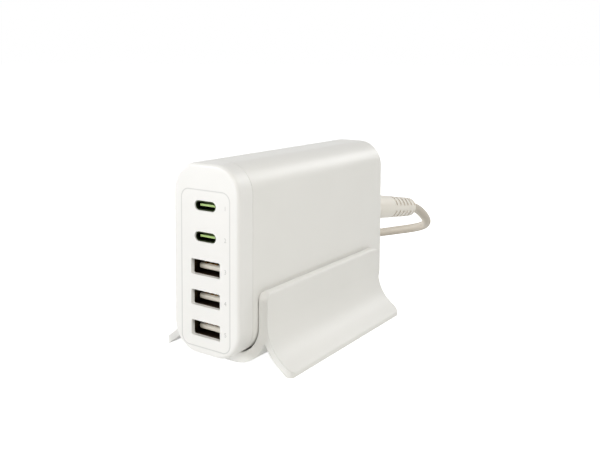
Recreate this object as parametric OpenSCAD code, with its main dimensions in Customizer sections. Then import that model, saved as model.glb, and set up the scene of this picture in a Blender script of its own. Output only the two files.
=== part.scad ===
// Five-port desktop charger: a slim two-piece housing with two small and three large
// sockets in its front, standing in a separate cradle with flared feet, and its mains lead.
// X is the width, the sockets face -Y, and Z is up from the table under the cradle's feet.

/* [Housing] */
// Width of the housing
housing_w = 29; // [28:0.5:36]
// Height of the housing
housing_h = 65.5; // [65:0.5:76]
// Length of the housing, front face to rear face
housing_l = 97; // [97:1:120]
// Radius of the housing's four long corners
housing_corner = 10.2; // [9:0.2:11]
// Thickness of the housing's side walls
housing_wall = 2; // [1.6:0.1:2.2]
// Rounding of the front and rear rims
rim_edge = 1.2; // [0.6:0.1:1.6]
// Depth of the front cap, from the face to the seam
bezel_depth = 7.4; // [6.4:0.2:9]
// Thickness of the face that the sockets sit behind
front_wall = 1.6; // [1.4:0.1:2.6]
// Thickness of the rear wall
rear_wall = 2.2; // [1.8:0.1:2.8]
// Width of the shadow line at the seam
seam_gap = 0.2; // [0.1:0.05:0.5]
// Depth of the shadow line at the seam
seam_depth = 0.3; // [0.2:0.1:0.8]
// Reach of the cap's spigot into the shell
spigot_l = 3; // [2:0.5:4]
// Thickness of the spigot
spigot_t = 1; // [0.8:0.1:1.2]

/* [Sockets] */
// Height of the lowest socket's middle above the housing's underside
low_socket_z = 8.95; // [8.6:0.05:10]
// Distance from one socket to the next
socket_pitch = 10.56; // [10:0.05:11.5]
// Width of the large sockets' cut-outs
large_slot_w = 12.7; // [12.6:0.05:13]
// Height of the large sockets' cut-outs
large_slot_h = 5.3; // [5.2:0.05:5.6]
// Width of the small sockets' cut-outs
small_slot_w = 9.4; // [9.1:0.05:9.8]
// Height of the small sockets' cut-outs
small_slot_h = 3.4; // [3.3:0.05:3.8]
// Inner width of a large socket's metal shell
large_shell_w = 12.5; // [12.3:0.05:12.6]
// Inner height of a large socket's metal shell
large_shell_h = 5.12; // [5:0.02:5.2]
// Inner width of a small socket's metal shell
small_shell_w = 8.34; // [8.3:0.02:8.4]
// Inner height of a small socket's metal shell
small_shell_h = 2.56; // [2.5:0.02:2.6]
// Sheet thickness of the metal shells
shell_t = 0.3; // [0.2:0.05:0.4]
// Distance from the face to the tip of a large socket's tongue
large_tongue_set = 3.5; // [3:0.1:4.5]
// Distance from the face to the tip of a small socket's tongue
small_tongue_set = 1.4; // [1:0.1:3]
// Distance from the face to the rim of a small socket's shell
small_shell_set = 0.4; // [0.2:0.1:2]
// Distance from the face to the board that carries the sockets
port_board_set = 13.4; // [12:0.1:14.5]

/* [Cradle] */
// Length of the cradle
cradle_l = 77.4; // [60:0.2:90]
// Width over the tips of the two feet
cradle_w = 57.8; // [52:0.2:70]
// Space between the housing and the cradle
cradle_gap = 0.6; // [0.4:0.05:1.5]
// Thickness of the cradle's trough
cradle_wall = 3.55; // [2.4:0.05:3.8]
// Height of the trough's side walls above the table
cradle_rise = 26.8; // [24:0.2:34]
// Height of the trough's underside above the table
trough_clear = 0.45; // [0.2:0.05:3]
// Thickness of the flared feet
wing_t = 2.6; // [2:0.1:3]
// Radius of the feet's hollow outer curve
wing_bend = 15; // [12:0.5:17]
// Angle through which a foot turns outwards from the vertical
wing_turn = 55; // [48:1:60]
// Depth of the flat worn on the feet's round tips where they rest
foot_flat = 0.3; // [0.1:0.05:0.5]
// Rounding of the cradle's upright front and rear corners
cradle_corner = 3; // [1:0.5:5]

/* [Boards] */
// Thickness of both circuit boards
board_t = 1.6; // [1.2:0.1:2]
// Distance of the main board's back from the housing's middle
board_x = 8.6; // [8.2:0.1:9]
// Space between the main board's end and the appliance inlet
board_end_gap = 0.8; // [0.6:0.1:2]
// Space between a board's edge and the housing's inner wall
board_margin = 1.5; // [1.2:0.1:1.8]

/* [Mains lead] */
// Width of the two-pole appliance inlet's opening
inlet_w = 14; // [13.9:0.05:14.4]
// Height of the inlet's opening
inlet_h = 8.2; // [8.1:0.05:8.6]
// Space round the connector's nose in the inlet
nose_gap = 0.2; // [0.1:0.05:0.3]
// Depth of the inlet's opening
inlet_depth = 13.2; // [13:0.1:14]
// Radius of the inlet's pins
inlet_pin_r = 1.2; // [1.1:0.05:1.3]
// Distance between the inlet's pins
inlet_pin_pitch = 8.6; // [8.4:0.1:8.8]
// Width of the connector's grip
grip_w = 17; // [16:0.5:20]
// Height of the connector's grip, and of the relief's root
grip_h = 10.8; // [10:0.2:12]
// Length of the grip behind the housing
grip_l = 18; // [14:1:22]
// Length of the ribbed strain relief
relief_l = 39; // [38:1:46]
// Slope at which the relief droops
relief_droop = 9.1; // [0:0.1:12]
// Diameter of the round mains lead
lead_d = 4.6; // [4:0.1:4.8]

/* [Hidden] */

$fn = 96;
cut = 1;
shell_white = [0.92, 0.92, 0.90];
tongue_cream = [0.93, 0.90, 0.82];
tongue_green = [0.55, 0.78, 0.20];
board_green = [0.10, 0.36, 0.20];
lead_cream = [0.90, 0.87, 0.80];

front_y = -housing_l / 2;
rear_y = housing_l / 2;
wall_out_x = housing_w / 2 + cradle_gap + cradle_wall;
base_z = trough_clear + cradle_wall + cradle_gap;
inner_w = housing_w - 2 * housing_wall;
inner_h = housing_h - 2 * housing_wall;
board_back = port_board_set + board_t;

// Slices that approximate a quarter-round rim
rim_steps = 5;

// Places child shapes drawn in width and height, from depth y0 to y1 behind the front face
module along_y(y0, y1)
    translate([0, front_y + y1, base_z])
        rotate([90, 0, 0])
            linear_extrude(y1 - y0) children();

// Places child shapes drawn in length and height, from x0 to x1
module along_x(x0, x1)
    translate([x0, 0, 0])
        rotate([90, 0, 90])
            linear_extrude(x1 - x0) children();

module round_rect(w, h, r) {
    square([w - 2 * r, h], center = true);
    square([w, h - 2 * r], center = true);
    for (sx = [-1, 1], sy = [-1, 1])
        translate([sx * (w / 2 - r), sy * (h / 2 - r)]) circle(r);
}

module stadium(w, h) {
    square([w - h, h], center = true);
    for (s = [-1, 1]) translate([s * (w - h) / 2, 0]) circle(d = h);
}

// The housing's cross-section, drawn in by an inset on every side
module section(inset = 0)
    translate([0, housing_h / 2])
        round_rect(housing_w - 2 * inset, housing_h - 2 * inset, housing_corner - inset);

// A rounded rim: full size at depth y_full, drawn in to the flat face at depth y_flat
module rim(y_flat, y_full) {
    skin = 0.01;
    way = sign(y_full - y_flat);
    hull()
        for (k = [0:rim_steps]) {
            turn = 90 * k / rim_steps;
            depth = y_flat + way * rim_edge * (1 - cos(turn));
            along_y(min(depth, depth + way * skin), max(depth, depth + way * skin))
                section(rim_edge * (1 - sin(turn)));
        }
}

// Sockets are counted from the top: 0 and 1 are small, 2 to 4 are large
function socket_z(i) = low_socket_z + (4 - i) * socket_pitch;

module at_socket(i) translate([0, socket_z(i)]) children();

module front_bezel() {
    spigot_in = housing_wall + 0.1;
    color(shell_white)
    difference() {
        union() {
            rim(0, rim_edge);
            along_y(rim_edge, bezel_depth - seam_gap) section();
            along_y(bezel_depth - seam_gap, bezel_depth) section(seam_depth);
            along_y(bezel_depth, bezel_depth + spigot_l) section(spigot_in);
        }
        along_y(front_wall, bezel_depth - spigot_t) section(housing_wall);
        along_y(front_wall, bezel_depth + spigot_l + cut) section(spigot_in + spigot_t);
        for (i = [0:1])
            along_y(-cut, front_wall + cut) at_socket(i) stadium(small_slot_w, small_slot_h);
        for (i = [2:4])
            along_y(-cut, front_wall + cut) at_socket(i) round_rect(large_slot_w, large_slot_h, 0.5);
    }
}

// Channels inside the shell's roof and floor that hold the main board's edges
module board_channels() {
    slack = 0.1;
    lip = 1.2;
    grip = 2;
    low = housing_wall + board_margin;
    intersection() {
        along_y(board_back + lip, board_back + board_l) difference() {
            translate([-board_x - lip - slack, 0]) square([board_t + 2 * (lip + slack), housing_h]);
            translate([-board_x - lip - 2 * slack, low + grip])
                square([board_t + 2 * lip + 4 * slack, housing_h - 2 * (low + grip)]);
            translate([-board_x - slack, low])
                square([board_t + 2 * slack, housing_h - 2 * low]);
        }
        along_y(0, housing_l) section(housing_wall / 2);
    }
}

module rear_shell()
    color(shell_white) {
        difference() {
            union() {
                along_y(bezel_depth, housing_l - rim_edge) section();
                rim(housing_l, housing_l - rim_edge);
            }
            along_y(bezel_depth - cut, housing_l - rear_wall) section(housing_wall);
            along_y(housing_l - rear_wall - cut, housing_l + cut) inlet_collar();
        }
        board_channels();
    }

// Half of the cradle's foot: a hollow curve, a straight flare and a round tip
module wing_profile() {
    tip_r = wing_t / 2;
    tip = [cradle_w / 2 - tip_r, tip_r - foot_flat];
    mid_r = wing_bend + tip_r;
    centre_x = wall_out_x + wing_bend;
    bend_end_x = centre_x - mid_r * cos(wing_turn);
    flare_l = (tip[0] - bend_end_x) / sin(wing_turn);
    centre = [centre_x, tip[1] + flare_l * cos(wing_turn) + mid_r * sin(wing_turn)];
    far = 2 * mid_r;
    overlap = 0.05;
    translate(tip) circle(tip_r);
    translate(tip) rotate(90 + wing_turn)
        translate([0, -tip_r]) square([flare_l + overlap, wing_t]);
    translate(centre) intersection() {
        difference() {
            circle(wing_bend + wing_t);
            circle(wing_bend);
        }
        polygon([[0, 0], [-far, 0], [-far, -far * tan(wing_turn)]]);
    }
}

module trough_profile() {
    top_r = 1;
    side = cradle_gap + cradle_wall;
    crown = cradle_rise - base_z;
    difference() {
        section(-side);
        section(-cradle_gap);
        translate([-cradle_w / 2, crown - top_r]) square([cradle_w, housing_h]);
    }
    for (s = [-1, 1])
        translate([s * (wall_out_x - cradle_wall / 2), crown - cradle_wall / 2])
            round_rect(cradle_wall, cradle_wall, top_r);
}

module cradle() {
    color(shell_white)
    intersection() {
        along_y((housing_l - cradle_l) / 2, (housing_l + cradle_l) / 2) union() {
            trough_profile();
            for (s = [0, 1]) mirror([s, 0]) translate([0, -base_z]) wing_profile();
        }
        along_x(-cradle_w, cradle_w) union() {
            translate([-cradle_l / 2, 0]) square([cradle_l, cradle_rise - cradle_corner]);
            translate([cradle_corner - cradle_l / 2, 0]) square([cradle_l - 2 * cradle_corner, cradle_rise]);
            for (s = [-1, 1])
                translate([s * (cradle_l / 2 - cradle_corner), cradle_rise - cradle_corner])
                    circle(cradle_corner);
        }
        linear_extrude(housing_h) round_rect(cradle_w, cradle_l, cradle_corner);
    }
}

// Soft strips that the housing rests on and is held between
module cradle_pads() {
    pad_l = cradle_l - 12;
    floor_w = 7;
    side_h = 6;
    y0 = (housing_l - pad_l) / 2;
    color([0.75, 0.75, 0.74]) {
        along_y(y0, y0 + pad_l) translate([-floor_w / 2, -cradle_gap]) square([floor_w, cradle_gap]);
        for (s = [0, 1]) mirror([s, 0])
            along_y(y0, y0 + pad_l) translate([housing_w / 2, housing_corner + 1]) square([cradle_gap, side_h]);
    }
}

module small_socket_shell(i)
    color([0.45, 0.45, 0.46])
    along_y(small_shell_set, port_board_set) at_socket(i) difference() {
        stadium(small_shell_w + 2 * shell_t, small_shell_h + 2 * shell_t);
        stadium(small_shell_w, small_shell_h);
    }

module small_socket_tongue(i) {
    slack = 0.05;
    tongue_w = 6.69;
    tongue_h = 0.7;
    base_set = 8;
    color(tongue_green) {
        along_y(small_tongue_set, base_set) at_socket(i) square([tongue_w, tongue_h], center = true);
        along_y(base_set, port_board_set) at_socket(i)
            stadium(small_shell_w - 2 * slack, small_shell_h - 2 * slack);
    }
}

module large_socket_shell(i) {
    bend = 0.35;
    color([0.45, 0.45, 0.46])
    along_y(front_wall, port_board_set) at_socket(i) difference() {
        round_rect(large_shell_w + 2 * shell_t, large_shell_h + 2 * shell_t, bend + shell_t);
        round_rect(large_shell_w, large_shell_h, bend);
    }
}

// A large socket's tongue lies below the middle, with its contacts on top
tongue_w = 11.1;
tongue_h = 1.84;
tongue_drop = 0.57;
tongue_base_set = 10.9;
contact_t = 0.2;

module large_socket_tongue(i) {
    slack = 0.05;
    chamfer = 0.4;
    low = base_z + socket_z(i) - tongue_drop - tongue_h / 2;
    tip = front_y + large_tongue_set;
    color(tongue_cream) {
        along_x(-tongue_w / 2, tongue_w / 2)
            polygon([
                [tip, low + chamfer], [tip, low + tongue_h - chamfer],
                [tip + chamfer, low + tongue_h], [front_y + tongue_base_set, low + tongue_h],
                [front_y + tongue_base_set, low], [tip + chamfer, low]]);
        along_y(tongue_base_set, port_board_set) at_socket(i)
            round_rect(large_shell_w - 2 * slack, large_shell_h - 2 * slack, 0.35);
    }
}

module large_socket_contacts(i) {
    contact_w = 1;
    contact_x = [-3.5, -1, 1, 3.5];
    color([0.80, 0.62, 0.28])
    along_y(large_tongue_set + 0.8, tongue_base_set) at_socket(i)
        for (x = contact_x)
            translate([x - contact_w / 2, tongue_h / 2 - tongue_drop]) square([contact_w, contact_t]);
}

module port_board() {
    edge = 0.3;
    color(board_green)
    along_y(port_board_set, board_back) section(housing_wall + edge);
}

board_low = housing_wall + board_margin;
board_face = -board_x + board_t;
board_h = housing_h - 2 * board_low;
inlet_body_l = 15;
inlet_back = housing_l - rear_wall - inlet_body_l;
board_l = inlet_back - board_end_gap - board_back;

// The board is laid out in three bays along it and three rows up it, and what stands on it
// is as large as its bay, its row and the reach to the far wall allow
bay_l = board_l / 3;
row_h = board_h / 3;
cell = min(bay_l, row_h);
wall_reach = inner_w / 2 - board_face;
function bay_y(k) = board_back + k * bay_l;
function row_z(k) = board_low + k * row_h;

module main_board()
    color(board_green)
    along_y(board_back, board_back + board_l)
        translate([-board_x, board_low]) square([board_t, board_h]);

// Puts a part on the main board's face, at depth y and height z, with its own +Z off the board
module on_board(y, z)
    translate([board_face, front_y + y, base_z + z]) rotate([0, 90, 0]) children();

module insulation_sheet() {
    sheet_t = 0.4;
    color([0.85, 0.80, 0.55])
    along_y(board_back + 3, housing_l - rear_wall - 3)
        translate([-inner_w / 2, housing_corner + 1])
            square([sheet_t, housing_h - 2 * (housing_corner + 1)]);
}

// The transformer's pot core is open at two sides and has a round centre post
core_side = 1.06 * cell;
core_h = wall_reach - 3;
core_window_r = 0.42 * core_side;
core_post_r = 0.2 * core_side;
core_floor = 0.17 * core_h;

module at_transformer() on_board(bay_y(1.5), row_z(1.5)) children();

module transformer_core()
    color([0.22, 0.22, 0.24])
    at_transformer() difference() {
        window_h = core_h - 2 * core_floor;
        mouth_w = 1.5 * core_window_r;
        translate([-core_side / 2, -core_side / 2, 0]) cube([core_side, core_side, core_h]);
        translate([0, 0, core_floor]) difference() {
            union() {
                cylinder(r = core_window_r, h = window_h);
                translate([-mouth_w / 2, -core_side, 0]) cube([mouth_w, 2 * core_side, window_h]);
            }
            cylinder(r = core_post_r, h = window_h);
        }
    }

module transformer_winding() {
    flange = 0.8;
    gap = 0.2;
    tape = 0.8;
    height = core_h - 2 * core_floor;
    ring = core_window_r - core_post_r - 2 * gap;
    color([0.80, 0.65, 0.20])
    at_transformer() translate([0, 0, core_floor])
        rotate_extrude() translate([core_post_r + gap, 0]) {
            square([ring, flange]);
            square([ring - tape, height]);
            translate([0, height - flange]) square([ring, flange]);
        }
}

// A plate that stands off the board over the transformer carries the transistor
sink_t = 1.5;

module at_sink() on_board(bay_y(1.5), row_z(2.3) + sink_t) children();

module heat_sink() {
    sink_l = 1.1 * bay_l;
    color([0.75, 0.76, 0.78])
    at_sink() translate([0, -sink_l / 2, 0]) cube([sink_t, sink_l, wall_reach - 3]);
}

module switching_transistor() {
    body_t = 4.4;
    body_w = 10;
    body_h = 9;
    leg_l = 3;
    leg_w = 0.8;
    leg_t = 0.6;
    leg_pitch = 2.54;
    at_sink() {
        color([0.12, 0.12, 0.12])
        translate([-body_t, -body_w / 2, leg_l]) cube([body_t, body_w, body_h]);
        color([0.70, 0.70, 0.72])
        for (k = [-1:1])
            translate([-(body_t + leg_t) / 2, k * leg_pitch - leg_w / 2, 0]) cube([leg_t, leg_w, leg_l]);
    }
}

// A can on its board end, with the crimped groove above its seal
module bulk_capacitor(k) {
    can_r = 0.305 * cell;
    can_h = wall_reach - 1.5;
    neck = 0.5;
    seal_h = 1.5;
    color([0.16, 0.18, 0.30])
    on_board(bay_y(2.66), row_z(k)) rotate_extrude()
        polygon([
            [0, 0], [can_r, 0], [can_r, seal_h], [can_r - neck, seal_h + 1.4 * neck],
            [can_r, seal_h + 2.8 * neck], [can_r, can_h - neck], [can_r - neck, can_h], [0, can_h]]);
}

// A block that stands on the board, given by its extents up the board, along it and off it
module board_block(y, z, size)
    on_board(y, z) translate([-size[0] / 2, -size[1] / 2, 0]) cube(size);

module x_capacitor()
    color([0.85, 0.70, 0.15])
    board_block(bay_y(2.66), row_z(0.55), [0.82 * cell, 0.6 * cell, 0.7 * wall_reach]);

module bridge_rectifier()
    color([0.14, 0.14, 0.15])
    board_block(bay_y(2.2), row_z(1.4), [0.75 * cell, 0.18 * cell, 0.5 * wall_reach]);

module fuse()
    color([0.20, 0.20, 0.20])
    board_block(bay_y(2.2), row_z(0.5), [0.4 * cell, 0.18 * cell, 0.4 * wall_reach]);

choke_r = 0.36 * cell;
choke_hole_r = 0.19 * cell;
choke_h = 0.3 * wall_reach;
choke_wrap = 1;
choke_slack = 0.1;

module at_choke() on_board(bay_y(1.5), row_z(0.48)) children();

module choke_core()
    color([0.30, 0.42, 0.30])
    at_choke() translate([0, 0, choke_wrap + choke_slack])
        rotate_extrude() translate([choke_hole_r, 0]) square([choke_r - choke_hole_r, choke_h]);

module choke_winding() {
    arc = 130;
    limb = [choke_r - choke_hole_r, choke_h];
    around = 2 * choke_slack;
    color([0.72, 0.38, 0.16])
    at_choke()
        for (turn = [25, 205])
            rotate(turn) rotate_extrude(angle = arc) difference() {
                translate([choke_hole_r - choke_slack - choke_wrap, 0])
                    square([limb[0] + around + 2 * choke_wrap, limb[1] + around + 2 * choke_wrap]);
                translate([choke_hole_r - choke_slack, choke_wrap])
                    square([limb[0] + around, limb[1] + around]);
            }
}

// Each row of the output bay holds one inductor and one capacitor
output_rows = [0.55, 1.3, 2.05];

module output_capacitors() {
    can_r = 0.2 * cell;
    color([0.78, 0.79, 0.82])
    for (k = output_rows)
        on_board(bay_y(0.76), row_z(k)) cylinder(r = can_r, h = 0.56 * wall_reach);
}

module buck_inductors()
    color([0.36, 0.36, 0.38])
    for (k = output_rows)
        board_block(bay_y(0.3), row_z(k), [0.5 * cell, 0.5 * cell, 0.26 * wall_reach]);

module control_chips() {
    chip_w = 5;
    chip_t = 1;
    color([0.10, 0.10, 0.11])
    for (k = [0.3, 0.76])
        board_block(bay_y(k), row_z(2.68), [chip_w, chip_w, chip_t]);
}

// The appliance inlet sits at mid-height in the rear wall
inlet_z = housing_h / 2;
inlet_rim = 0.5;
inlet_side = 3.5;
inlet_edge = 2.2;
tail_l = 3;
tail_w = 2;
tail_t = 0.8;
nose_l = inlet_depth - 0.3;
pin_l = 9.5;

module inlet_collar()
    translate([0, inlet_z]) stadium(inlet_w + 2 * inlet_rim, inlet_h + 2 * inlet_rim);

module pin_tail(s)
    translate([s * inlet_pin_pitch / 2, inlet_z]) square([tail_w, tail_t], center = true);

module mains_inlet()
    color([0.10, 0.10, 0.10])
    difference() {
        union() {
            along_y(inlet_back, housing_l - rear_wall) translate([0, inlet_z])
                round_rect(inlet_w + 2 * inlet_side, inlet_h + 2 * inlet_edge, 2);
            along_y(housing_l - rear_wall, housing_l) inlet_collar();
        }
        along_y(housing_l - inlet_depth, housing_l + cut) translate([0, inlet_z]) stadium(inlet_w, inlet_h);
        for (s = [-1, 1]) along_y(inlet_back - cut, housing_l) pin_tail(s);
    }

module inlet_pins()
    color([0.80, 0.80, 0.78])
    for (s = [-1, 1]) {
        along_y(housing_l - inlet_depth, housing_l - inlet_depth + pin_l)
            translate([s * inlet_pin_pitch / 2, inlet_z]) circle(inlet_pin_r);
        along_y(inlet_back - tail_l, housing_l - inlet_depth) pin_tail(s);
    }

// Two short wires carry the inlet's poles to the main board
module inlet_leads() {
    wire_r = 0.8;
    reach = 2.2;
    drop = 4.8;
    start_y = inlet_back - tail_l;
    elbow_y = start_y - reach;
    x = inlet_pin_pitch / 2;
    paths = [
        [[-x, start_y, inlet_z], [-x, elbow_y, inlet_z], [board_face, elbow_y, inlet_z]],
        [[x, start_y, inlet_z], [x, elbow_y, inlet_z], [x, elbow_y, inlet_z - drop],
         [board_face, elbow_y, inlet_z - drop]]];
    color([0.45, 0.25, 0.12])
    for (path = paths, i = [1:len(path) - 1]) {
        wire(path[i - 1], path[i], wire_r);
        if (i < len(path) - 1)
            translate([path[i][0], front_y + path[i][1], base_z + path[i][2]])
                sphere(r = wire_r, $fn = 32);
    }
}

// A straight wire between two points given in width, depth behind the face, and height
module wire(a, b, r) {
    run = b - a;
    translate([a[0], front_y + a[1], base_z + a[2]])
        rotate([0, acos(run[2] / norm(run)), atan2(run[1], run[0])])
            cylinder(r = r, h = norm(run), $fn = 32);
}

// The lead's moulded connector: nose, grip and drooping ribbed relief in one piece
relief_end_r = 4.6;
relief_nose_r = 3;
rib_first = 16;
rib_pitch = 4.1;
rib_count = 6;
rib_gap = 1.5;
rib_depth = 1.3;
spine_w = 2.6;

module relief() {
    root_r = grip_h / 2;
    nose_l = relief_end_r - relief_nose_r + 0.8;
    shoulder = relief_l - nose_l;
    difference() {
        rotate_extrude()
            polygon(concat(
                [for (a = [-90:15:0]) [root_r * cos(a), root_r * sin(a)]],
                [[root_r, rib_first / 2]],
                [for (a = [0:18:90])
                    [relief_nose_r + (relief_end_r - relief_nose_r) * cos(a), shoulder + nose_l * sin(a)]],
                [[0, relief_l]]));
        for (i = [0:rib_count - 1]) {
            z = rib_first + i * rib_pitch - rib_gap / 2;
            core_r = root_r + (relief_end_r - root_r) * z / shoulder - rib_depth;
            translate([0, 0, z]) difference() {
                cylinder(r = grip_h, h = rib_gap);
                translate([0, 0, -cut]) cylinder(r = core_r, h = rib_gap + 2 * cut);
                translate([-grip_h, -spine_w / 2, -cut]) cube([2 * grip_h, spine_w, rib_gap + 2 * cut]);
            }
        }
    }
}

module lead_connector() {
    hole_slack = 0.2;
    collar_l = 9;
    waist = 0.3;
    skin = 0.1;
    color(lead_cream) {
        difference() {
            along_y(housing_l - nose_l, housing_l) translate([0, inlet_z])
                stadium(inlet_w - 2 * nose_gap, inlet_h - 2 * nose_gap);
            for (s = [-1, 1])
                along_y(housing_l - nose_l - cut, housing_l - nose_l + pin_l + 1)
                    translate([s * inlet_pin_pitch / 2, inlet_z]) circle(inlet_pin_r + hole_slack);
        }
        hull() {
            along_y(housing_l, housing_l + collar_l) translate([0, inlet_z]) stadium(grip_w, grip_h, $fn = 48);
            along_y(housing_l + grip_l - skin, housing_l + grip_l) translate([0, inlet_z])
                circle(d = grip_h - 2 * waist, $fn = 48);
        }
        translate([0, rear_y + grip_l, base_z + inlet_z])
            rotate([-90 - relief_droop, 0, 0]) relief();
    }
}

// The lead's free run, from the relief's end to the coil, lying on the table at its far end
relief_end = [0, rear_y + grip_l + relief_l * cos(relief_droop),
              base_z + inlet_z - relief_l * sin(relief_droop)];
lead_run = [
    [0, 111.5, 29.7], [0, 117.8, 27.0], [-0.2, 123.8, 23.4], [-1.6, 129.8, 19.6],
    [-5, 135.3, 16.3], [-10.5, 139.8, 13.4], [-17.5, 142.1, 11.0], [-25, 142.7, 9.0],
    [-33, 142.9, 6.9], [-41.5, 143, 4.9], [-50, 142.9, 3.5], [-58.7, 142.5, 2.9],
    [-67.4, 141.6, 2.7], [-76.1, 140.1, 2.7], [-84.6, 138.1, 2.7]];

coil_at = [-99, 98];
tie_t = 0.4;
turn_r = 33;
layer_turns = 4;
// The turn that climbs between the layers dips inwards, clear of the turns beside it
climb_dip = 0.7;
coil_out_r = turn_r + lead_d / 2;
coil_in_r = turn_r - (layer_turns - 1) * lead_d - lead_d / 2 - climb_dip;
coil_h = 2 * lead_d;
lower_z = tie_t + lead_d / 2;
upper_z = lower_z + lead_d;
entry_l = 18;
leave_l = 21;
entry_angle = 110;
leave_angle = 270;

function on_turn(angle, along, z) =
    [coil_at[0] + turn_r * cos(angle) - along * sin(angle),
     coil_at[1] + turn_r * sin(angle) + along * cos(angle), z];

function unit(v) = v / norm(v);

// A tube whose rings stand across the way from each point's neighbour to the next
module tube(points, r, sides, first, last) {
    n = len(points);
    way = [for (i = [0:n - 1]) i == 0 ? first : i == n - 1 ? last : unit(points[i + 1] - points[i - 1])];
    rings = [for (i = [0:n - 1])
        let (side = unit(cross(way[i], [0, 0, 1])), up = cross(side, way[i]))
            for (k = [0:sides - 1])
                points[i] + r * (cos(360 * k / sides) * side + sin(360 * k / sides) * up)];
    walls = [for (i = [0:n - 2], k = [0:sides - 1])
        let (a = i * sides + k, b = i * sides + (k + 1) % sides)
            [a, a + sides, b + sides, b]];
    polyhedron(rings, concat(
        [[for (k = [0:sides - 1]) k]],
        walls,
        [[for (k = [sides - 1:-1:0]) (n - 1) * sides + k]]), convexity = 6);
}

module lead_cord() {
    entry = on_turn(entry_angle, -entry_l, lower_z);
    color(lead_cream)
    tube(concat([relief_end], lead_run, [entry]), lead_d / 2, 12,
        [0, cos(relief_droop), -sin(relief_droop)],
        [-sin(entry_angle), cos(entry_angle), 0]);
}

module coil_stub(angle, z, way, l)
    translate([coil_at[0], coil_at[1], z]) rotate(angle) translate([turn_r, 0, 0])
        rotate([-90 * way, 0, 0]) cylinder(d = lead_d, h = l);

// Two layers of turns wound side by side, with the lead's two ends leaving along the outer turns
module lead_coil()
    color(lead_cream) {
        translate([coil_at[0], coil_at[1], tie_t + coil_h / 2])
            rotate_extrude() translate([(coil_in_r + coil_out_r) / 2, 0])
                round_rect(coil_out_r - coil_in_r, coil_h, lead_d / 2 - 0.1);
        coil_stub(entry_angle, lower_z, -1, entry_l);
        coil_stub(leave_angle, upper_z, 1, leave_l);
    }

module coil_tie() {
    arc = 14;
    color([0.12, 0.12, 0.12])
    translate([coil_at[0], coil_at[1], tie_t + coil_h / 2])
        rotate(20) rotate_extrude(angle = arc) translate([(coil_in_r + coil_out_r) / 2, 0]) difference() {
            square([coil_out_r - coil_in_r + 2 * tie_t, coil_h + 2 * tie_t], center = true);
            square([coil_out_r - coil_in_r, coil_h], center = true);
        }
}

// A flat two-pin mains plug lying beside the coil, in line with the lead's end
plug_w = 35.3;
plug_l = 32;
plug_relief_l = 20;
plug_tail_w = 14;
plug_pin_r = 2;
plug_sleeve_r = 1.8;
plug_pin_l = 19;
plug_sleeve_l = 10;
plug_pin_pitch = 18.6;

// The plug's own +Z runs from the lead to the pins, and its own X is its width
module at_plug()
    translate(on_turn(leave_angle, leave_l, upper_z))
        rotate([0, 0, leave_angle]) rotate([-90, 0, 0]) children();

module plug_slab(w, h, z, t)
    translate([0, 0, z]) linear_extrude(t) round_rect(w, h, min(w, h) / 2 - 1.2);

module plug_body() {
    plug_h = 2 * upper_z;
    face_t = 8;
    skin = 0.1;
    $fn = 48;
    color(lead_cream)
    at_plug() {
        hull() {
            plug_slab(plug_w, plug_h, plug_relief_l + plug_l - face_t, face_t);
            plug_slab(plug_w - 6, plug_h, plug_relief_l + plug_l / 2, skin);
            plug_slab(plug_tail_w, plug_h - 3, plug_relief_l, skin);
        }
        cylinder(r1 = lead_d / 2 + 0.6, r2 = plug_h / 2 - 2, h = plug_relief_l);
        for (s = [-1, 1])
            translate([s * plug_pin_pitch / 2, 0, plug_relief_l + plug_l]) difference() {
                cylinder(r = plug_sleeve_r, h = plug_sleeve_l);
                cylinder(r = plug_sleeve_r - 0.4, h = plug_sleeve_l + cut);
            }
    }
}

module plug_pins()
    color([0.82, 0.82, 0.80])
    at_plug()
        for (s = [-1, 1])
            translate([s * plug_pin_pitch / 2, 0, plug_relief_l + plug_l]) {
                cylinder(r = plug_sleeve_r - 0.4, h = plug_sleeve_l);
                translate([0, 0, plug_sleeve_l]) cylinder(r = plug_pin_r, h = plug_pin_l - plug_sleeve_l - 1);
                translate([0, 0, plug_pin_l - 1]) cylinder(r1 = plug_pin_r, r2 = plug_pin_r - 0.8, h = 1);
            }

front_bezel();
rear_shell();
cradle();
cradle_pads();
for (i = [1:2]) {
    small_socket_shell(i - 1);
    small_socket_tongue(i - 1);
}
for (i = [1:3]) {
    large_socket_shell(i + 1);
    large_socket_tongue(i + 1);
    large_socket_contacts(i + 1);
}
port_board();
main_board();
insulation_sheet();
transformer_core();
transformer_winding();
heat_sink();
switching_transistor();
bulk_capacitor(2.56);  // bulk_capacitor_1
bulk_capacitor(1.92);  // bulk_capacitor_2
x_capacitor();
choke_core();
choke_winding();
bridge_rectifier();
fuse();
output_capacitors();
buck_inductors();
control_chips();
mains_inlet();
inlet_pins();
inlet_leads();
lead_connector();
lead_cord();
lead_coil();
coil_tie();
plug_body();
plug_pins();
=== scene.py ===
"""Looks for a desktop charger in its cradle: finishes, printing, the mains lead, floor and light.

Everything is in metres in the part's own frame: X is the width, the sockets face -Y, and Z is
up from the table under the cradle's feet.
"""

import bpy
import numpy as np
from mathutils import Matrix


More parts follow.
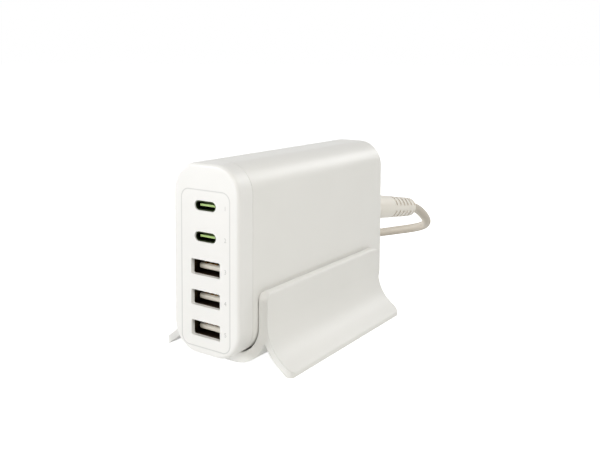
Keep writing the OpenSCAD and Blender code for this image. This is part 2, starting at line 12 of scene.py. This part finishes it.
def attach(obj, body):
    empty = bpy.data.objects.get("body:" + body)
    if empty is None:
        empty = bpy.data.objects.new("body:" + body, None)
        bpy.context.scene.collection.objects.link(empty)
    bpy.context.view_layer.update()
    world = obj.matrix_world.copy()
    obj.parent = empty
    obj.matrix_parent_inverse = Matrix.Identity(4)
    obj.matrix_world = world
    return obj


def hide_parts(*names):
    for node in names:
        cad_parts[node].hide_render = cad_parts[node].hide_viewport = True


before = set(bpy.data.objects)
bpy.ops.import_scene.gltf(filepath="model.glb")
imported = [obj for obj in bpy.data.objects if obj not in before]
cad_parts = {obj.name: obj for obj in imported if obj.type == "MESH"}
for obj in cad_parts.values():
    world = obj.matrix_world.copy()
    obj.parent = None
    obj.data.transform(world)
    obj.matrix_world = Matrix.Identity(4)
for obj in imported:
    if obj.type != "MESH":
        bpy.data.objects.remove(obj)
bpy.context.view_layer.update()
mm = 0.001


# Camera.

# In pixels: the picture's width, and how far above its middle the lens axis meets it.
PICTURE_W = 600
AXIS_ABOVE_MIDDLE = 110
SENSOR_W = 36.0


def camera_axes(yaw, pitch, roll):
    """Right, up and forward of a camera turned left by yaw from +Y, tipped down by pitch, then
    rolled about its own axis, all in degrees."""
    yaw, pitch, roll = np.radians([yaw, pitch, roll])
    forward = np.array([-np.sin(yaw) * np.cos(pitch), np.cos(yaw) * np.cos(pitch), -np.sin(pitch)])
    right = np.array([np.cos(yaw), np.sin(yaw), 0.0])
    up = np.cross(right, forward)
    return (np.cos(roll) * right + np.sin(roll) * up,
            np.cos(roll) * up - np.sin(roll) * right,
            forward)


def place_camera(eye, yaw, pitch, roll, lens, shift):
    """The scene's camera, at eye in metres. lens is in millimetres, and shift moves the picture
    up by that part of its width."""
    right, up, forward = camera_axes(yaw, pitch, roll)
    data = bpy.data.cameras.new("camera")
    data.sensor_width = SENSOR_W
    data.lens = lens
    data.shift_y = shift
    data.clip_start = 0.01
    camera = bpy.data.objects.new("camera", data)
    turned = Matrix([list(axis) for axis in np.stack([right, up, -forward], axis=1)])
    camera.matrix_world = Matrix.Translation(eye) @ turned.to_4x4()
    bpy.context.scene.collection.objects.link(camera)
    bpy.context.scene.camera = camera


place_camera(eye=(0.16364, -0.23157, 0.10342), yaw=34.427, pitch=4.007, roll=0.274,
             lens=44.38, shift=-AXIS_ABOVE_MIDDLE / PICTURE_W)


# Meshes from numpy.

def piece(name, vertices, faces, smooth=True):
    """One object from an array of vertices in metres and a list of each face's vertices."""
    mesh = bpy.data.meshes.new(name)
    mesh.from_pydata(vertices.tolist(), [], faces)
    mesh.validate()
    mesh.polygons.foreach_set("use_smooth", np.full(len(mesh.polygons), smooth))
    mesh.update()
    thing = bpy.data.objects.new(name, mesh)
    bpy.context.scene.collection.objects.link(thing)
    return thing


def unit(v):
    """Vectors of length 1 with the directions of v."""
    return v / np.linalg.norm(v, axis=-1, keepdims=True)


# Mains lead.

# Millimetres and degrees, as in the part. The run is laid from the strain relief down
# to the table and behind the housing, where the rest of the lead is coiled.
LEAD_D = 4.6
RELIEF_END = (0.0, 105.009, 31.182)
LEAD_RUN = [
    (0, 111.5, 29.7), (0, 117.8, 27.0), (-0.2, 123.8, 23.4), (-1.6, 129.8, 19.6),
    (-5, 135.3, 16.3), (-10.5, 139.8, 13.4), (-17.5, 142.1, 11.0), (-25, 142.7, 9.0),
    (-33, 142.9, 6.9), (-41.5, 143, 4.9), (-50, 142.9, 3.5), (-58.7, 142.5, 2.9),
    (-67.4, 141.6, 2.7), (-76.1, 140.1, 2.7), (-84.6, 138.1, 2.7)]
COIL_AT = (-99.0, 98.0)
LAYER_TURNS = 3
TURN_R = 33.0
INNER_R = TURN_R - LAYER_TURNS * LEAD_D
TIE_T = 0.4
LOWER_Z = TIE_T + LEAD_D / 2
UPPER_Z = LOWER_Z + LEAD_D
CLIMB_DIP = 0.7
ENTRY, LEAVE = 110.0, 270.0
ENTRY_L, LEAVE_L = 18.0, 21.0
# The points of the path: the spacing of the run's, and the numbers of the others.
RUN_STEP = 1.5
TURN_POINTS, CLIMB_POINTS, END_POINTS = 120, 30, 14


def through(points, step):
    """A smooth curve through points, given about every step: cubic Hermite spans with
    chord-length knots. The slope at each knot is that of the parabola through it and its two
    neighbours, and at the two ends the one that leaves no bend there."""
    points = np.asarray(points, float)
    chord = np.linalg.norm(np.diff(points, axis=0), axis=1)
    knot = np.concatenate([[0.0], np.cumsum(chord)])
    secant = np.diff(points, axis=0) / chord[:, None]
    slope = np.empty_like(points)
    before, after = chord[:-1, None], chord[1:, None]
    slope[1:-1] = (after * secant[:-1] + before * secant[1:]) / (before + after)
    slope[0] = unit(1.5 * secant[0] - 0.5 * slope[1])
    slope[-1] = unit(1.5 * secant[-1] - 0.5 * slope[-2])
    s = np.linspace(0.0, knot[-1], int(knot[-1] / step) + 1)
    i = np.clip(np.searchsorted(knot, s, side="right") - 1, 0, len(chord) - 1)
    h = chord[i][:, None]
    t = (s - knot[i])[:, None] / h
    return ((2 * t**3 - 3 * t**2 + 1) * points[i] + (t**3 - 2 * t**2 + t) * h * slope[i]
            + (3 * t**2 - 2 * t**3) * points[i + 1] + (t**3 - t**2) * h * slope[i + 1])


def on_turn(angle, radius, z):
    """Points of the coil at angles in degrees about its centre."""
    a = np.radians(angle)
    return np.stack(np.broadcast_arrays(
        COIL_AT[0] + radius * np.cos(a), COIL_AT[1] + radius * np.sin(a), z), axis=-1)


def lead_path():
    """The lead's centreline in millimetres: the free run, a layer of turns that wind inwards on
    the table, part of a turn that climbs, a layer of turns that wind outwards on top, and a
    straight end to the plug. A turn moves in or out by one lead diameter. The climb rises as
    three squares less two cubes of the way along it, and dips inwards as half a sine wave, clear
    of the turns beside it."""
    heading_in, heading_out = [np.array([-np.sin(angle), np.cos(angle), 0.0])
                               for angle in np.radians([ENTRY, LEAVE])]
    entry = on_turn(ENTRY, TURN_R, LOWER_Z)
    run = through([RELIEF_END, *LEAD_RUN, entry - ENTRY_L * heading_in, entry], RUN_STEP)
    turns = np.linspace(0.0, LAYER_TURNS, LAYER_TURNS * TURN_POINTS + 1)[1:]
    lower = on_turn(ENTRY + 360 * turns, TURN_R - LEAD_D * turns, LOWER_Z)
    f = np.linspace(0.0, 1.0, CLIMB_POINTS + 1)[1:]
    climb = on_turn(ENTRY + (LEAVE - ENTRY) * f, INNER_R - CLIMB_DIP * np.sin(np.pi * f),
                    LOWER_Z + (UPPER_Z - LOWER_Z) * (3 * f**2 - 2 * f**3))
    upper = on_turn(LEAVE + 360 * turns, INNER_R + LEAD_D * turns, UPPER_Z)
    end = upper[-1] + np.linspace(0.0, LEAVE_L, END_POINTS + 1)[1:, None] * heading_out
    return np.concatenate([run, lower, climb, upper, end])


def round_tube(name, path, radius, sides=20):
    """A tube of circles of one radius, each square to the path at its point, with a flat cap on
    each end. The path never runs straight up: a circle's first point lies level with its
    middle, to the right of the way ahead."""
    ahead = unit(np.gradient(path, axis=0))
    right = unit(np.cross(ahead, [0.0, 0.0, 1.0]))
    above = np.cross(right, ahead)
    a = np.linspace(0.0, 2 * np.pi, sides, endpoint=False)
    ring = np.cos(a)[None, :, None] * right[:, None] + np.sin(a)[None, :, None] * above[:, None]
    points = (path[:, None] + radius * ring).reshape(-1, 3)
    first = sides * np.arange(len(path) - 1)[:, None]
    here, after = first + np.arange(sides), first + (np.arange(sides) + 1) % sides
    walls = np.stack([here, after, after + sides, here + sides], axis=-1).reshape(-1, 4)
    caps = [np.arange(sides)[::-1], np.arange(len(points) - sides, len(points))]
    tube = piece(name, points, walls.tolist() + [cap.tolist() for cap in caps])
    for cap in tube.data.polygons[-len(caps):]:
        cap.use_smooth = False
    return tube


lead_line = lead_path() * mm
lead = round_tube("mains_lead", lead_line, LEAD_D / 2 * mm)
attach(lead, "root")
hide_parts("lead_cord", "lead_coil")


# Port numbers, printed beside the sockets.

# Millimetres, as in the part: the front face, the housing's underside above the table, and the
# sockets' middles above that, from the top one down.
FACE_Y = -48.5
HOUSING_Z = 4.6
LOW_SOCKET_Z = 8.95
SOCKET_PITCH = 10.56
SOCKETS = 5
SOCKET_Z = HOUSING_Z + LOW_SOCKET_Z + SOCKET_PITCH * np.arange(SOCKETS - 1, -1, -1)
NUMBER_X = 8.7
NUMBER_SIZE = 2.1
INK_T = 0.012


def printed_number(text, x, z):
    """A numeral's outline filled flat, stood up on the front face: its own right is +X, its own
    up is +Z, and it lies an ink film's thickness proud of the face."""
    curve = bpy.data.curves.new("numeral", "FONT")
    curve.body = text
    curve.size = NUMBER_SIZE
    curve.extrude = INK_T
    curve.align_x = "CENTER"
    curve.align_y = "CENTER"
    drawn = bpy.data.objects.new("numeral", curve)
    bpy.context.scene.collection.objects.link(drawn)
    bpy.context.view_layer.update()
    evaluated = drawn.evaluated_get(bpy.context.evaluated_depsgraph_get())
    mesh = bpy.data.meshes.new_from_object(evaluated)
    flat = np.empty(len(mesh.vertices) * 3)
    mesh.vertices.foreach_get("co", flat)
    flat = flat.reshape(-1, 3)
    faces = [list(p.vertices) for p in mesh.polygons]
    bpy.data.objects.remove(drawn)
    bpy.data.meshes.remove(mesh)
    return np.stack([flat[:, 0] + x, FACE_Y - flat[:, 2], flat[:, 1] + z], axis=-1) * mm, faces


points, faces = [], []
for i, z in enumerate(SOCKET_Z):
    number_points, number_faces = printed_number(str(i + 1), NUMBER_X, z)
    first = sum(map(len, points))
    points.append(number_points)
    faces += [[first + v for v in face] for face in number_faces]
numbers = piece("port_numbers", np.concatenate(points), faces, smooth=False)
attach(numbers, "root")


# Materials.

def linear(colour):
    """An sRGB hex colour as linear red, green, blue and full alpha."""
    srgb = np.array([int(colour[i:i + 2], 16) for i in (1, 3, 5)]) / 255
    rgb = np.where(srgb <= 0.04045, srgb / 12.92, ((srgb + 0.055) / 1.055) ** 2.4)
    return (*rgb, 1.0)


def add(tree, kind, inputs=None, out=0, **settings):
    """Adds one shader node and gives one of its outputs. inputs gives each socket, by name or
    number, a value, an sRGB hex colour or the socket that feeds it. A Map Range takes its range
    in at 1 and 2 and its range out at 3 and 4, and a Mix of colours takes its factor at 0 and
    its colours at 6 and 7, and gives their mix at 2."""
    node = tree.nodes.new("ShaderNode" + kind)
    for name, value in settings.items():
        setattr(node, name, value)
    for key, value in (inputs or {}).items():
        if isinstance(value, bpy.types.NodeSocket):
            tree.links.new(value, node.inputs[key])
        else:
            node.inputs[key].default_value = linear(value) if isinstance(value, str) else value
    return node.outputs[out] if node.outputs else node


def new_material(name):
    """An empty material, its node tree, and Object coordinates in it."""
    material = bpy.data.materials.new(name)
    material.use_nodes = True
    material.node_tree.nodes.clear()
    return material, material.node_tree, add(material.node_tree, "TexCoord", out="Object")


def finish(material, colours, tone, roughs, wear, height, depth_mm, marks=(), edge=None,
           **sockets):
    """Ends a material in one shader and gives the material. The colour goes from the first to
    the second as tone goes from 0 to 1, and then to each mark's own where its mask is 1. The
    roughness follows wear in the same way, and height stands depth_mm proud where it is 1."""
    tree = material.node_tree
    colour = add(tree, "Mix", {0: tone, 6: colours[0], 7: colours[1]}, out=2, data_type="RGBA")
    for mark, mask in marks:
        colour = add(tree, "Mix", {0: mask, 6: colour, 7: mark}, out=2, data_type="RGBA")
    add(tree, "OutputMaterial", {"Surface": add(tree, "BsdfPrincipled", {
        "Base Color": colour,
        "Roughness": add(tree, "MapRange", {"Value": wear, 3: roughs[0], 4: roughs[1]}),
        "Normal": add(tree, "Bump", {"Height": height, "Distance": depth_mm * mm,
                                     **({"Normal": edge} if edge else {})}),
        **sockets})})
    return material


def frame_line(tree, place):
    """1 on a rounded rectangle's outline on the front face, 0 elsewhere. The distance to the
    outline is the length of how far the point lies past the corners' centres, less the
    corner's radius. The line's edges are soft, and it goes no further than depth behind the
    face. Sizes are in millimetres."""
    half_w, low_z, high_z, corner, width, soft, depth = 10.65, 7.23, 61.04, 3.2, 0.42, 0.06, 0.1
    steps = [("SUBTRACT", (0.0, 0.0, (low_z + high_z) / 2 * mm)), ("ABSOLUTE", None),
             ("SUBTRACT", ((half_w - corner) * mm, 1.0, ((high_z - low_z) / 2 - corner) * mm)),
             ("MAXIMUM", (0.0, 0.0, 0.0))]
    past = place
    for operation, other in steps:
        past = add(tree, "VectorMath", {0: past, **({1: other} if other else {})},
                   operation=operation)
    away = add(tree, "VectorMath", {0: past}, out="Value", operation="LENGTH")
    outside = add(tree, "Math", {0: away, 1: corner * mm}, operation="SUBTRACT")
    off = add(tree, "Math", {0: outside}, operation="ABSOLUTE")
    line = add(tree, "MapRange", {"Value": off, 1: (width / 2 - soft) * mm,
                                  2: (width / 2 + soft) * mm, 3: 1.0, 4: 0.0})
    y = add(tree, "SeparateXYZ", {0: place}, out="Y")
    on_face = add(tree, "Math", {0: y, 1: (FACE_Y + depth) * mm}, operation="LESS_THAN")
    return add(tree, "Math", {0: line, 1: on_face}, operation="MULTIPLY")


# The slot floors get a darker beige: painted shade in the recesses between the ribs.
def painted_slot_shade(tree, place):
    """1 on the floors of the strain relief's slots, 0 elsewhere. The way along the relief's axis
    from its first slot, less whole pitches, is under one slot's width there, and the spines at
    mid-height are left out. Sizes are in millimetres."""
    first, pitch, gap, slots, spine = 15.25, 4.1, 1.5, 6, 2.6
    droop = np.radians(9.1)
    root = tuple(c * mm for c in (0.0, 66.5, 37.35))
    from_root = add(tree, "VectorMath", {0: place, 1: root}, operation="SUBTRACT")
    ways = []
    for axis in ((0.0, np.cos(droop), -np.sin(droop)), (0.0, np.sin(droop), np.cos(droop))):
        way = add(tree, "VectorMath", {0: from_root, 1: axis}, out="Value", operation="DOT_PRODUCT")
        ways.append(add(tree, "Math", {0: way, 1: 1 / mm}, operation="MULTIPLY"))
    along, above = ways
    start = add(tree, "Math", {0: along, 1: first}, operation="SUBTRACT")
    tests = [(add(tree, "Math", {0: start, 1: pitch}, operation="MODULO"), "LESS_THAN", gap),
             (start, "GREATER_THAN", 0.0), (start, "LESS_THAN", (slots - 1) * pitch + gap),
             (add(tree, "Math", {0: above}, operation="ABSOLUTE"), "GREATER_THAN", spine / 2)]
    mask = 1.0
    for value, test, limit in tests:
        passed = add(tree, "Math", {0: value, 1: limit}, operation=test)
        mask = add(tree, "Math", {0: passed, 1: mask}, operation="MULTIPLY")
    return mask


def moulded(name, low, high, roughness, grain_mm, depth_mm, edge_mm=0.0, marks=(), **sockets):
    """An injection-moulded plastic: its colour drifts very slightly over centimetres, and the
    mould's texture breaks up the shine. edge_mm softens sharp edges, and marks are pairs of a
    colour and the function that gives its mask."""
    drift_mm = 18
    material, tree, place = new_material(name)
    texture = add(tree, "TexNoise", {"Vector": place, "Scale": 1 / (grain_mm * mm)}, out="Fac")
    drift = add(tree, "TexNoise", {"Vector": place, "Scale": 1 / (drift_mm * mm),
                                   "Detail": 1.0}, out="Fac")
    edge = add(tree, "Bevel", {"Radius": edge_mm * mm}, samples=4) if edge_mm else None
    return finish(material, (low, high), drift, (roughness - 0.04, roughness + 0.04), texture,
                  texture, depth_mm, [(colour, mask(tree, place)) for colour, mask in marks],
                  edge, **sockets)


def metal(name, low, high, roughness, streak_mm, along, depth_mm=0.002):
    """A bare or plated metal: long fine streaks run along one axis, as rolling or drawing leaves
    them, and dull the shine here and there. along is a factor for each axis, and a small one
    draws the streaks out that way."""
    tarnish_mm = 2.5
    material, tree, place = new_material(name)
    stretched = add(tree, "VectorMath", {0: place, 1: along}, operation="MULTIPLY")
    streaks = add(tree, "TexNoise", {"Vector": stretched, "Scale": 1 / (streak_mm * mm),
                                     "Detail": 3.0}, out="Fac")
    tarnish = add(tree, "TexNoise", {"Vector": place, "Scale": 1 / (tarnish_mm * mm)}, out="Fac")
    worn = add(tree, "MapRange", {"Value": streaks, 1: 0.2, 2: 0.8})
    return finish(material, (low, high), tarnish, (roughness - 0.06, roughness + 0.08), worn,
                  streaks, depth_mm, Metallic=1.0)


def gritty(name, low, high, roughness, grit_mm, depth_mm, **sockets):
    """A pressed or filled material: grains about grit_mm across differ in tone and stand proud
    of each other."""
    wear_mm = 6
    material, tree, place = new_material(name)
    cells = add(tree, "TexVoronoi", {"Vector": place, "Scale": 1 / (grit_mm * mm)}, out="Distance")
    tone = add(tree, "MapRange", {"Value": cells, 2: 0.7})
    worn = add(tree, "TexNoise", {"Vector": place, "Scale": 1 / (wear_mm * mm)}, out="Fac")
    return finish(material, (low, high), tone, (roughness - 0.05, roughness + 0.05), worn, cells,
                  depth_mm, **sockets)


def wave_scale(pitch_mm):
    """The Wave texture's scale for bands of one pitch: at a scale of 1 it has 20 bands in every
    two pi metres."""
    return 2 * np.pi / (20 * pitch_mm * mm)


def wound(name, low, high, pitch_mm, direction, roughness, depth_mm, **sockets):
    """Turns of wire or tape side by side: bands of one pitch across a direction, with painted shade
    between turns, and round or flat on top as the sine wave of the band is."""
    wear_mm = 3
    material, tree, place = new_material(name)
    bands = add(tree, "TexWave", {"Vector": place, "Scale": wave_scale(pitch_mm),
                                  "Distortion": 0.3}, out="Fac", bands_direction=direction)
    # The bands' dark part is painted shade in the grooves between turns.
    tone = add(tree, "MapRange", {"Value": bands, 1: 0.1, 2: 0.6})
    worn = add(tree, "TexNoise", {"Vector": place, "Scale": 1 / (wear_mm * mm)}, out="Fac")
    return finish(material, (low, high), tone, (roughness - 0.05, roughness + 0.05), worn, bands,
                  depth_mm, **sockets)


def solder_masked_board(name):
    """Glass-epoxy board under green solder mask: copper shows through as a slightly lighter
    green wherever the nearest cell's middle is over a third of a cell away, which leaves square
    gaps, and the mask is smooth and glossy."""
    track_mm, wear_mm = 3, 4
    material, tree, place = new_material(name)
    cells = add(tree, "TexVoronoi", {"Vector": place, "Scale": 1 / (track_mm * mm)},
                out="Distance", distance="CHEBYCHEV")
    tracks = add(tree, "MapRange", {"Value": cells, 1: 0.30, 2: 0.34})
    worn = add(tree, "TexNoise", {"Vector": place, "Scale": 1 / (wear_mm * mm)}, out="Fac")
    return finish(material, ("#12452A", "#1C6139"), tracks, (0.24, 0.34), worn, tracks, 0.03,
                  **{"Coat Weight": 0.3})


def hook_and_loop(name):
    """Woven nylon tape: two crossed sets of bands at the thread spacing, with a fuzzy pile."""
    thread_mm = 0.5
    material, tree, place = new_material(name)
    threads = [add(tree, "TexWave", {"Vector": place, "Scale": wave_scale(thread_mm),
                                     "Distortion": 1.0}, out="Fac", bands_direction=axis)
               for axis in ("DIAGONAL", "Z")]
    weave = add(tree, "Math", {0: threads[0], 1: threads[1]}, operation="MAXIMUM")
    return finish(material, ("#141414", "#2E2E2E"), weave, (0.9, 0.75), weave, weave, 0.15,
                  **{"Sheen Weight": 0.4})


# Polycarbonate-ABS from a finely spark-eroded mould: satin, with broad soft highlights on the
# rounded edges. The grain is drawn at 0.45 mm so that it shows, the real one is near 0.1 mm.
housing_white = moulded("moulded_pc_abs_white", "#EFEEEB", "#F3F2EF", 0.33, 0.45, 0.003)
# The bezel is the same plastic. The frame round the sockets is a pale grey pad-printed line,
# closed all the way round.
bezel_white = moulded("moulded_pc_abs_bezel", "#F2F1EF", "#F6F5F3", 0.34, 0.45, 0.003,
                      marks=[("#DADAD8", frame_line)])
# ABS from a plainer mould, a shade greyer and softer in its shine.
cradle_white = moulded("moulded_abs_cradle", "#EDECE9", "#F1F0ED", 0.40, 0.5, 0.004, edge_mm=0.5)
# Pad-printing ink: matt and faintly rough at its edges.
grey_ink = moulded("pad_printing_ink_grey", "#C4C4C2", "#CCCCCA", 0.6, 0.3, 0.002)
# Silicone rubber strip: matt, with a dusty bloom.
silicone = moulded("silicone_rubber_pad", "#C6C6C3", "#CFCFCC", 0.7, 0.6, 0.01)
# Tin-plated drawn steel with draw lines that run into the socket, coloured dark brown-grey: painted
# shade.
shell_steel_painted_shade = metal("tin_plated_steel_painted_shade", "#2E2318", "#4A3B2A", 0.42, 0.25,
                    (1.0, 0.12, 1.0))
# The small shells are nickel-plated and deep-drawn, coloured near black with a trace of green:
# painted shade.
small_shell_painted_shade = metal("nickel_plated_steel_painted_shade", "#1A2013", "#36402A", 0.3, 0.2,
                    (1.0, 0.12, 1.0))
# Glass-filled liquid crystal polymer, tinted lime: dull, with flow marks.
lime_tongue = moulded("lcp_tongue_lime", "#B4DA72", "#CDEA9C", 0.45, 0.4, 0.006)
# The same polymer in its natural cream.
cream_tongue = moulded("lcp_tongue_cream", "#FAF3E2", "#FDF8EC", 0.5, 0.4, 0.006)
# Flash gold over nickel on stamped phosphor bronze: worn dull where plugs wipe it.
gold_flash = metal("gold_flashed_bronze", "#8C5F30", "#C79A58", 0.3, 0.3, (1.0, 0.15, 1.0))
# Glass-epoxy board under green solder mask.
masked_board = solder_masked_board("solder_masked_glass_epoxy")
# Polyester film: thin, amber and glossy, with faint waves.
amber_film = moulded("polyester_film_amber", "#CDBB7C", "#D9C98E", 0.18, 4.0, 0.03,
                     **{"Coat Weight": 0.4})
# Sintered manganese-zinc ferrite: charcoal, matt and slightly gritty.
ferrite = gritty("sintered_ferrite", "#2B2B2E", "#3C3C40", 0.62, 0.35, 0.01)
# Polyester tape wound over the transformer: yellow, with the tape's edges as fine steps.
winding_tape = wound("polyester_winding_tape", "#B8921F", "#D8B33A", 2.4, "Y", 0.35, 0.03)
# Extruded aluminium bar: bright, with long die lines.
aluminium = metal("extruded_aluminium", "#C4C6C8", "#D3D5D7", 0.34, 0.3, (1.0, 0.08, 1.0),
                  0.004)
# Silica-filled epoxy moulding compound: black-grey and matt.
epoxy = gritty("filled_epoxy_black", "#161616", "#232324", 0.55, 0.2, 0.006)
# Heat-shrunk PVC sleeve: thin, tight and glossy.
sleeve = moulded("heat_shrunk_pvc_sleeve", "#1D2346", "#252C54", 0.22, 0.8, 0.006,
                 **{"Coat Weight": 0.3})
# Polybutylene case of the mains capacitor: yellow and semi-glossy.
yellow_case = moulded("moulded_pbt_yellow", "#D6A51B", "#DFB02B", 0.3, 0.5, 0.006)
# Enamelled copper wire in close turns: red-brown under clear lacquer.
copper = wound("enamelled_copper_wire", "#6F2F12", "#B5622B", 0.7, "Z", 0.24, 0.15,
               Metallic=0.9)
# Drawn aluminium can of a polymer capacitor.
can = metal("drawn_aluminium_can", "#CDCFD2", "#DADCDF", 0.22, 0.25, (1.0, 1.0, 0.12))
# Glass-filled nylon of the inlet: black, with a fine texture.
black_nylon = moulded("glass_filled_nylon_black", "#161616", "#1E1E1E", 0.42, 0.3, 0.008)
# Nickel-plated brass pins: bright and smooth.
plated_pin = metal("nickel_plated_brass_pin", "#CFCDC6", "#DCDAD3", 0.16, 0.4, (0.15, 1.0, 1.0))
# Extruded soft PVC of the cord: warm cream, waxy, with the faintest ripple from its cooling.
cord_pvc = moulded("extruded_pvc_cream", "#C9C0B2", "#D2C9BB", 0.46, 1.6, 0.02,
                   **{"Sheen Weight": 0.05})
# Moulded soft PVC of the plug: a shade whiter than the cord.
plug_pvc = moulded("moulded_pvc_cream", "#ECE6DB", "#F2ECE2", 0.44, 0.5, 0.008, edge_mm=0.3)
# The connector is the same PVC, a little whiter still; the strain relief's slots have painted
# shade.
connector_pvc = moulded("moulded_pvc_ribbed", "#F4EEE4", "#F9F4EB", 0.40, 0.5, 0.006,
                        marks=[("#CBC0B2", painted_slot_shade)])
# Hook-and-loop tape of the tie: black woven nylon.
woven_tie = hook_and_loop("woven_nylon_tape")

FINISHES = {
    "rear_shell": housing_white, "front_bezel": bezel_white, "cradle": cradle_white,
    "cradle_pads": silicone, "port_board": masked_board, "main_board": masked_board,
    "insulation_sheet": amber_film, "transformer_core": ferrite,
    "transformer_winding": winding_tape, "heat_sink": aluminium,
    "switching_transistor": epoxy, "bulk_capacitor_1": sleeve, "bulk_capacitor_2": sleeve,
    "x_capacitor": yellow_case, "choke_core": ferrite, "choke_winding": copper,
    "bridge_rectifier": epoxy, "fuse": epoxy, "output_capacitors": can,
    "buck_inductors": ferrite, "control_chips": epoxy, "mains_inlet": black_nylon,
    "inlet_pins": plated_pin, "inlet_leads": copper, "lead_connector": connector_pvc,
    "coil_tie": woven_tie, "plug_body": plug_pvc, "plug_pins": plated_pin}
for i in (1, 2):
    FINISHES[f"small_socket_shell_{i}"] = small_shell_painted_shade
    FINISHES[f"small_socket_tongue_{i}"] = lime_tongue
for i in (1, 2, 3):
    FINISHES[f"large_socket_shell_{i}"] = shell_steel_painted_shade
    FINISHES[f"large_socket_tongue_{i}"] = cream_tongue
    FINISHES[f"large_socket_contacts_{i}"] = gold_flash
for node, material in FINISHES.items():
    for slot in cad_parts[node].material_slots:
        slot.material = material
lead.data.materials.append(cord_pvc)
numbers.data.materials.append(grey_ink)


# Floor and light.

# In metres: half the floor's side, how far it lies below the feet, and what the lamps face.
FLOOR_HALF = 30.0
FLOOR_DROP = 0.02 * mm
MIDDLE = (0.0, 0.0, 0.03)


def seen_directly(tree):
    """1 for rays from the camera, a reflection or a clear surface, 0 for light that bounces."""
    rays = add(tree, "LightPath").node.outputs
    seen = add(tree, "Math", {0: rays["Is Glossy Ray"], 1: rays["Is Transmission Ray"]},
               operation="MAXIMUM")
    return add(tree, "Math", {0: rays["Is Camera Ray"], 1: seen}, operation="MAXIMUM")


def floor_paper(lift):
    """Pale matt paper. Seen directly or in a reflection it is lifted, so that only the shadow
    under the object is darker than white."""
    material, tree, _ = new_material("pale_paper_floor")
    paper = add(tree, "BsdfDiffuse", {"Color": "#EAEAE8"})
    lifted = add(tree, "AddShader", {0: paper, 1: add(tree, "Emission", {
        "Color": "#FFFFFF", "Strength": lift})})
    add(tree, "OutputMaterial", {"Surface": add(tree, "MixShader", {
        0: seen_directly(tree), 1: paper, 2: lifted})})
    return material


def white_world(tint, strength):
    """Even, very slightly warm light all round, seen as plain white."""
    world = bpy.data.worlds.new("white_studio")
    world.use_nodes = True
    tree = world.node_tree
    tree.nodes.clear()
    seen = seen_directly(tree)
    add(tree, "OutputWorld", {"Surface": add(tree, "Background", {
        "Color": add(tree, "Mix", {0: seen, 6: tint, 7: "#FFFFFF"}, out=2, data_type="RGBA"),
        "Strength": add(tree, "MapRange", {"Value": seen, 3: strength, 4: 1.0})})})
    bpy.context.scene.world = world


def soft_lamp(name, at, size, power, colour):
    """A round softbox of one diameter and power that faces the middle of the object."""
    data = bpy.data.lights.new(name, "AREA")
    data.shape = "DISK"
    data.size = size
    data.energy = power
    data.color = linear(colour)[:3]
    lamp = bpy.data.objects.new(name, data)
    way = unit(np.array(MIDDLE) - np.array(at))
    right = unit(np.cross(way, [0.0, 0.0, 1.0]))
    turned = Matrix([list(axis) for axis in np.stack([right, np.cross(right, way), -way], axis=1)])
    lamp.matrix_world = Matrix.Translation(at) @ turned.to_4x4()
    bpy.context.scene.collection.objects.link(lamp)


sides = [-FLOOR_HALF, FLOOR_HALF]
corners = np.stack(np.meshgrid(sides, sides, [-FLOOR_DROP], indexing="ij"), axis=-1)
floor = piece("floor", corners.reshape(-1, 3), [[0, 2, 3, 1]], smooth=False)
floor.data.materials.append(floor_paper(0.90))

COOL, WARM = "#FCFDFF", "#FFFEF9"
white_world("#FFFDF6", 0.15)
soft_lamp("left_front_softbox", (-0.70, -1.00, 0.15), 0.6, 7.1, COOL)
soft_lamp("left_low_softbox", (-1.30, -0.90, 0.14), 0.6, 2.7, COOL)
soft_lamp("left_side_softbox", (-1.00, -0.10, 0.12), 0.5, 4.5, COOL)
soft_lamp("right_high_softbox", (0.45, -0.33, 0.50), 0.3, 2.6, WARM)
soft_lamp("top_softbox", (0.00, 0.25, 1.20), 0.8, 1.0, COOL)
soft_lamp("rear_rim_softbox", (0.35, 0.85, 0.42), 0.35, 0.8, COOL)
soft_lamp("rear_high_softbox", (0.30, 0.70, 0.55), 0.4, 0.8, COOL)

bpy.context.scene.view_settings.view_transform = "Standard"
